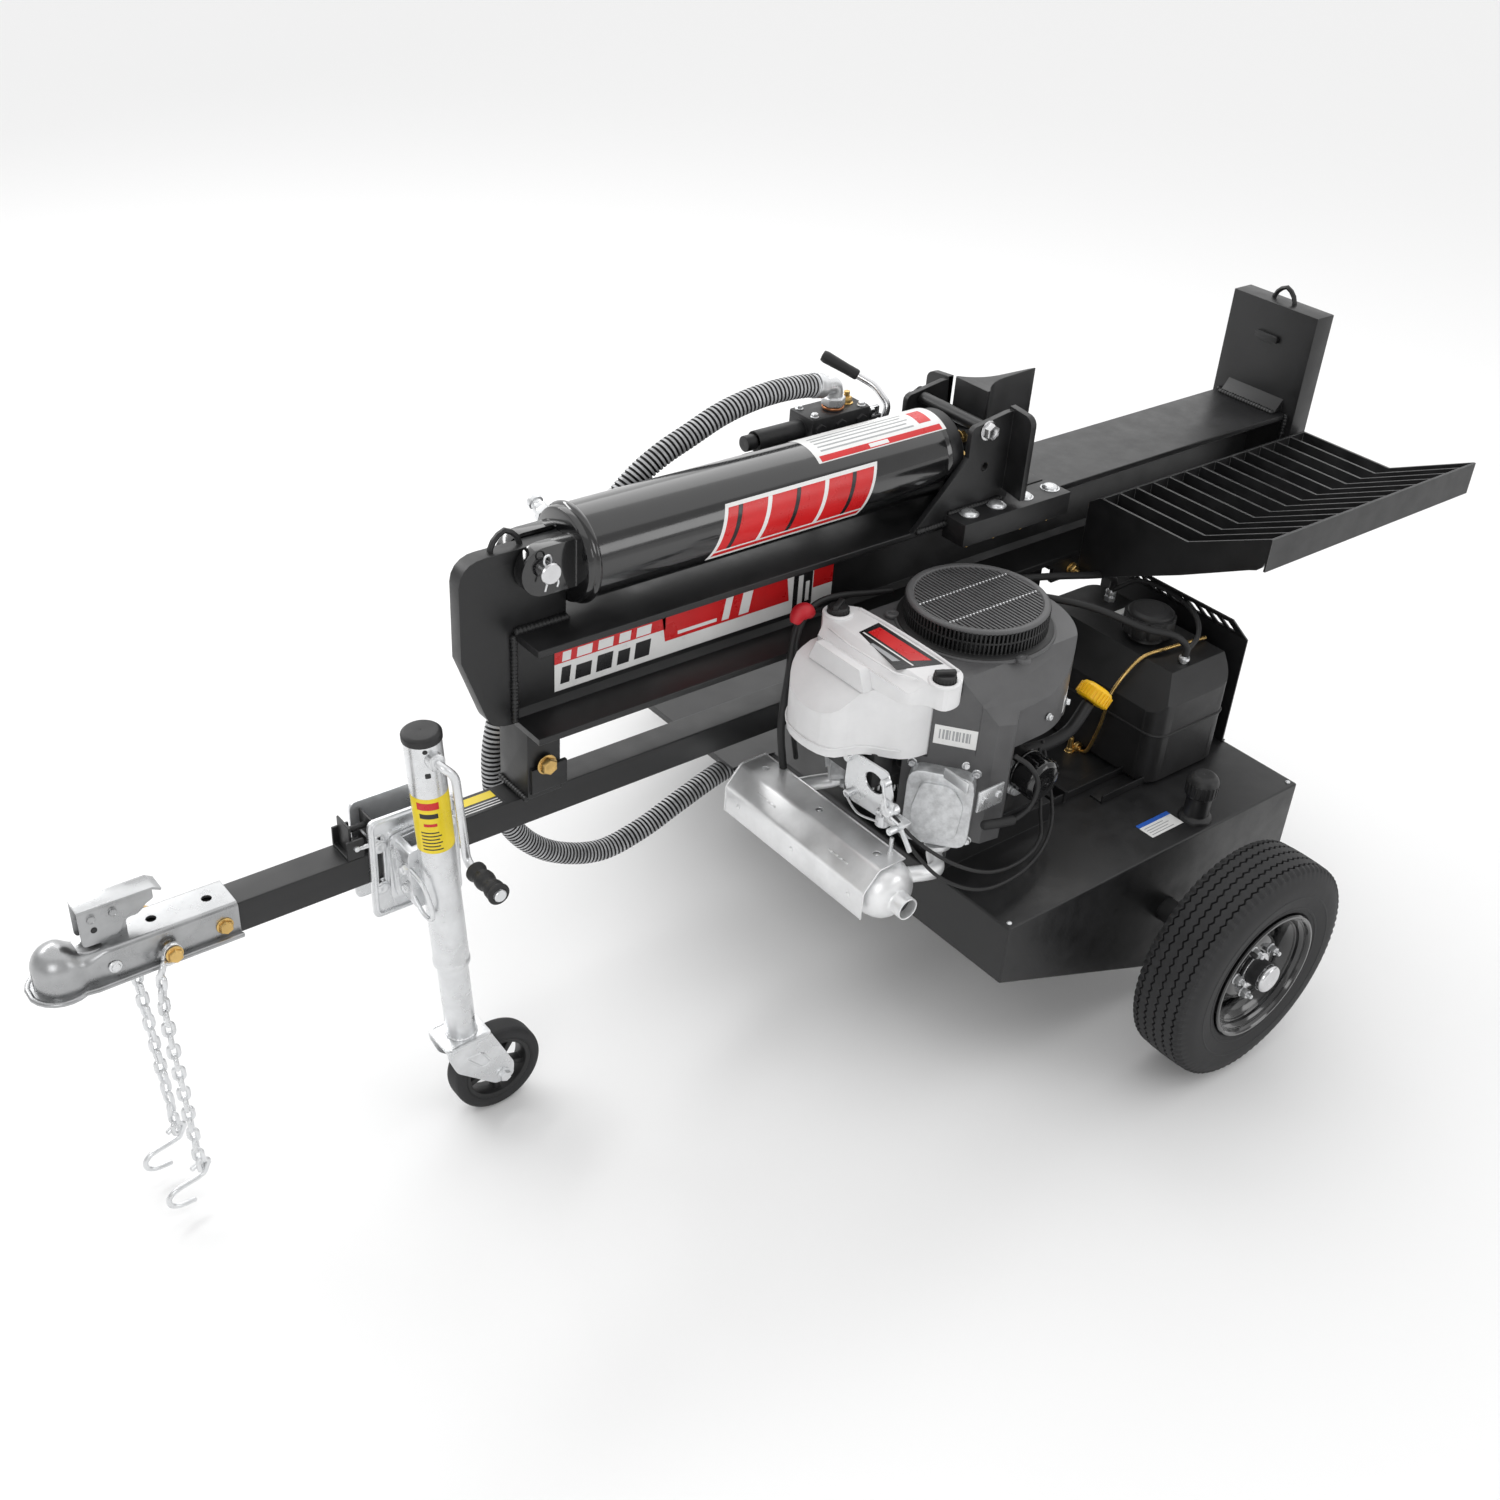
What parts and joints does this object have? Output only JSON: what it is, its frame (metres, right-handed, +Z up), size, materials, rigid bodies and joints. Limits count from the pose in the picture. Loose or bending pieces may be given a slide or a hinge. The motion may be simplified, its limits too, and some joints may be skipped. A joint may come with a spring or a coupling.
{
  "type": "towable hydraulic log splitter",
  "caption": "Towable log splitter: beam with a foot plate and a cylinder-driven sliding wedge, engine and pump on a reservoir deck, trailer wheels, ball coupler, swing-up jack and log tray.",
  "frame": {"origin": "on the ground, under the middle of the overall length and of the track", "axes": "+X from the coupler towards the foot plate, +Y away from the engine side, +Z up"},
  "size_m": [2.4754, 1.534, 1.0214],
  "materials": {
    "satin_black_paint": "satin black powder coat",
    "gloss_black_paint": "high gloss black enamel",
    "bright_zinc": "bright zinc plate, slightly mottled",
    "yellow_zinc": "yellow chromate zinc plate",
    "machined_steel": "turned and lightly oiled",
    "hard_chrome": "ground and hard chromed",
    "black_casting": "black painted casting",
    "cast_aluminium": "as die cast, matt",
    "aluminised_steel": "bright aluminised sheet",
    "tyre_rubber": "matt black, ribbed block tread",
    "black_rubber": "matt",
    "black_plastic": "moulded, fine grain",
    "charcoal_plastic": "moulded, fine grain",
    "grey_plastic": "moulded, smooth satin",
    "yellow_plastic": "moulded",
    "spiral_guard": "dark grey spiral hose guard"
  },
  "bodies": {
    "frame": {"beam": "satin_black_paint", "anchor_plate": "satin_black_paint", "foot_plate": "satin_black_paint", "beam_post": "satin_black_paint", "post_bolt": "yellow_zinc", "rear_riser": "satin_black_paint", "tongue_tube": "satin_black_paint", "coupler_body": "bright_zinc", "coupler_bolt_front": "yellow_zinc", "jack_mount": "bright_zinc", "oil_tank": "satin_black_paint", "axle": "satin_black_paint", "cylinder_barrel": "gloss_black_paint", "cylinder_gland": "black_casting", "clevis_pin": "machined_steel", "stripper_near": "satin_black_paint", "stripper_far": "satin_black_paint", "stripper_tie_rod": "machined_steel", "valve_body": "black_casting", "return_hose": "spiral_guard", "pressure_hose": "black_rubber", "log_tray": "satin_black_paint", "engine_block": "cast_aluminium", "engine_shroud": "charcoal_plastic", "fan_screen": "black_plastic", "air_filter_cover": "grey_plastic", "oil_filter": "gloss_black_paint", "hydraulic_pump": "black_casting", "muffler": "aluminised_steel", "muffler_heat_shield": "aluminised_steel", "fuel_tank": "black_plastic", "fuel_tank_guard": "satin_black_paint"},
    "ram": {"piston_rod": "hard_chrome", "wedge": "satin_black_paint", "rod_pin": "machined_steel"},
    "lever": {"valve_lever": "machined_steel"},
    "spool": {"valve_spool": "hard_chrome"},
    "jack_tube": {"jack_outer_tube": "bright_zinc", "jack_cap": "black_plastic"},
    "jack_leg": {"jack_inner_tube": "bright_zinc"},
    "jack_crank": {"jack_crank_arm": "bright_zinc"},
    "jack_grip": {"jack_crank_grip": "black_rubber"},
    "jack_castor": {"jack_fork": "bright_zinc"},
    "jack_roller": {"jack_wheel": "black_rubber"},
    "wheel_near": {"tyre_near": "tyre_rubber", "rim_near": "satin_black_paint", "hub_near": "machined_steel"},
    "wheel_far": {"tyre_far": "tyre_rubber", "rim_far": "satin_black_paint", "hub_far": "machined_steel"},
    "latch": {"coupler_latch": "bright_zinc"},
    "chain_near": {"safety_chain_near": "bright_zinc"},
    "chain_far": {"safety_chain_far": "bright_zinc"},
    "fuel_filler_cap": {"fuel_cap": "black_plastic"},
    "dipstick_cap": {"oil_cap": "yellow_plastic"},
    "oil_filler_cap": {"reservoir_cap": "black_plastic"},
    "knob_left": {"filter_knob_left": "black_plastic"},
    "knob_right": {"filter_knob_right": "black_plastic"},
    "crank_train": {"crankshaft": "machined_steel", "flywheel_fan": "cast_aluminium"}
  },
  "joints": [
    {"name": "ram_stroke", "type": "slide", "parent": "frame", "child": "ram", "axis": [1, 0, 0], "range_m": [0, 0.61]},
    {"name": "valve_lever_tilt", "type": "hinge", "parent": "frame", "child": "lever", "pos_m": [0.29735, 0.116, 0.89], "axis": [0, 1, 0], "range_deg": [-16, 16]},
    {"name": "spool_travel", "type": "slide", "parent": "frame", "child": "spool", "axis": [1, 0, 0], "range_m": [-0.009, 0.009]},
    {"name": "jack_swing", "type": "hinge", "parent": "frame", "child": "jack_tube", "pos_m": [-0.68715, -0.095, 0.485], "axis": [0, -1, 0], "range_deg": [0, 86]},
    {"name": "jack_crank_turn", "type": "hinge", "parent": "jack_tube", "child": "jack_crank", "pos_m": [-0.70327, -0.145, 0.70942], "axis": [0, -1, 0], "range_deg": [-7201, 8641]},
    {"name": "jack_leg_travel", "type": "slide", "parent": "jack_tube", "child": "jack_leg", "axis": [-0.0716, 0, 0.9974], "range_m": [-0.1003, 0.1203]},
    {"name": "crank_grip_spin", "type": "hinge", "parent": "jack_crank", "child": "jack_grip", "pos_m": [-0.67292, -0.203, 0.53816], "axis": [0, 1, 0], "continuous": true},
    {"name": "jack_castor_swivel", "type": "hinge", "parent": "jack_leg", "child": "jack_castor", "pos_m": [-0.66423, -0.095, 0.16582], "axis": [-0.0716, 0, 0.9974], "continuous": true},
    {"name": "jack_wheel_roll", "type": "hinge", "parent": "jack_castor", "child": "jack_roller", "pos_m": [-0.60958, -0.095, 0.07506], "axis": [0, 1, 0], "continuous": true},
    {"name": "wheel_near_roll", "type": "hinge", "parent": "frame", "child": "wheel_near", "pos_m": [0.46735, -0.696, 0.20424], "axis": [0, 1, 0], "continuous": true},
    {"name": "wheel_far_roll", "type": "hinge", "parent": "frame", "child": "wheel_far", "pos_m": [0.46735, 0.696, 0.20424], "axis": [0, 1, 0], "continuous": true},
    {"name": "coupler_latch_lift", "type": "hinge", "parent": "frame", "child": "latch", "pos_m": [-1.15265, 0, 0.54], "axis": [0, -1, 0], "range_deg": [0, 60]},
    {"name": "chain_near_swing", "type": "hinge", "parent": "frame", "child": "chain_near", "pos_m": [-1.06465, -0.044, 0.488], "axis": [0, 1, 0], "range_deg": [-20, 45]},
    {"name": "chain_far_swing", "type": "hinge", "parent": "frame", "child": "chain_far", "pos_m": [-1.06465, 0.044, 0.488], "axis": [0, 1, 0], "range_deg": [-20, 45]},
    {"name": "fuel_cap_turn", "type": "hinge", "parent": "frame", "child": "fuel_filler_cap", "pos_m": [0.64935, -0.252, 0.58], "axis": [0, 0, 1], "continuous": true},
    {"name": "dipstick_cap_turn", "type": "hinge", "parent": "frame", "child": "dipstick_cap", "pos_m": [0.39785, -0.3482, 0.5495], "axis": [0.6594, 0, 0.7518], "continuous": true},
    {"name": "reservoir_cap_turn", "type": "hinge", "parent": "frame", "child": "oil_filler_cap", "pos_m": [0.54535, -0.503, 0.415], "axis": [0, 0, 1], "continuous": true},
    {"name": "filter_knob_left_turn", "type": "hinge", "parent": "frame", "child": "knob_left", "pos_m": [0.01535, -0.124, 0.731], "axis": [0, 0, 1], "continuous": true},
    {"name": "filter_knob_right_turn", "type": "hinge", "parent": "frame", "child": "knob_right", "pos_m": [0.01535, -0.368, 0.731], "axis": [0, 0, 1], "continuous": true},
    {"name": "engine_crank_turn", "type": "hinge", "parent": "frame", "child": "crank_train", "pos_m": [0.19935, -0.246, 0.5], "axis": [0, 0, 1], "continuous": true}
  ],
  "couplings": [
    {"joint": "spool_travel", "follows": "valve_lever_tilt", "m_per_rad": 0.032},
    {"joint": "jack_leg_travel", "follows": "jack_crank_turn", "m_per_rad": 0.00079577}
  ]
}
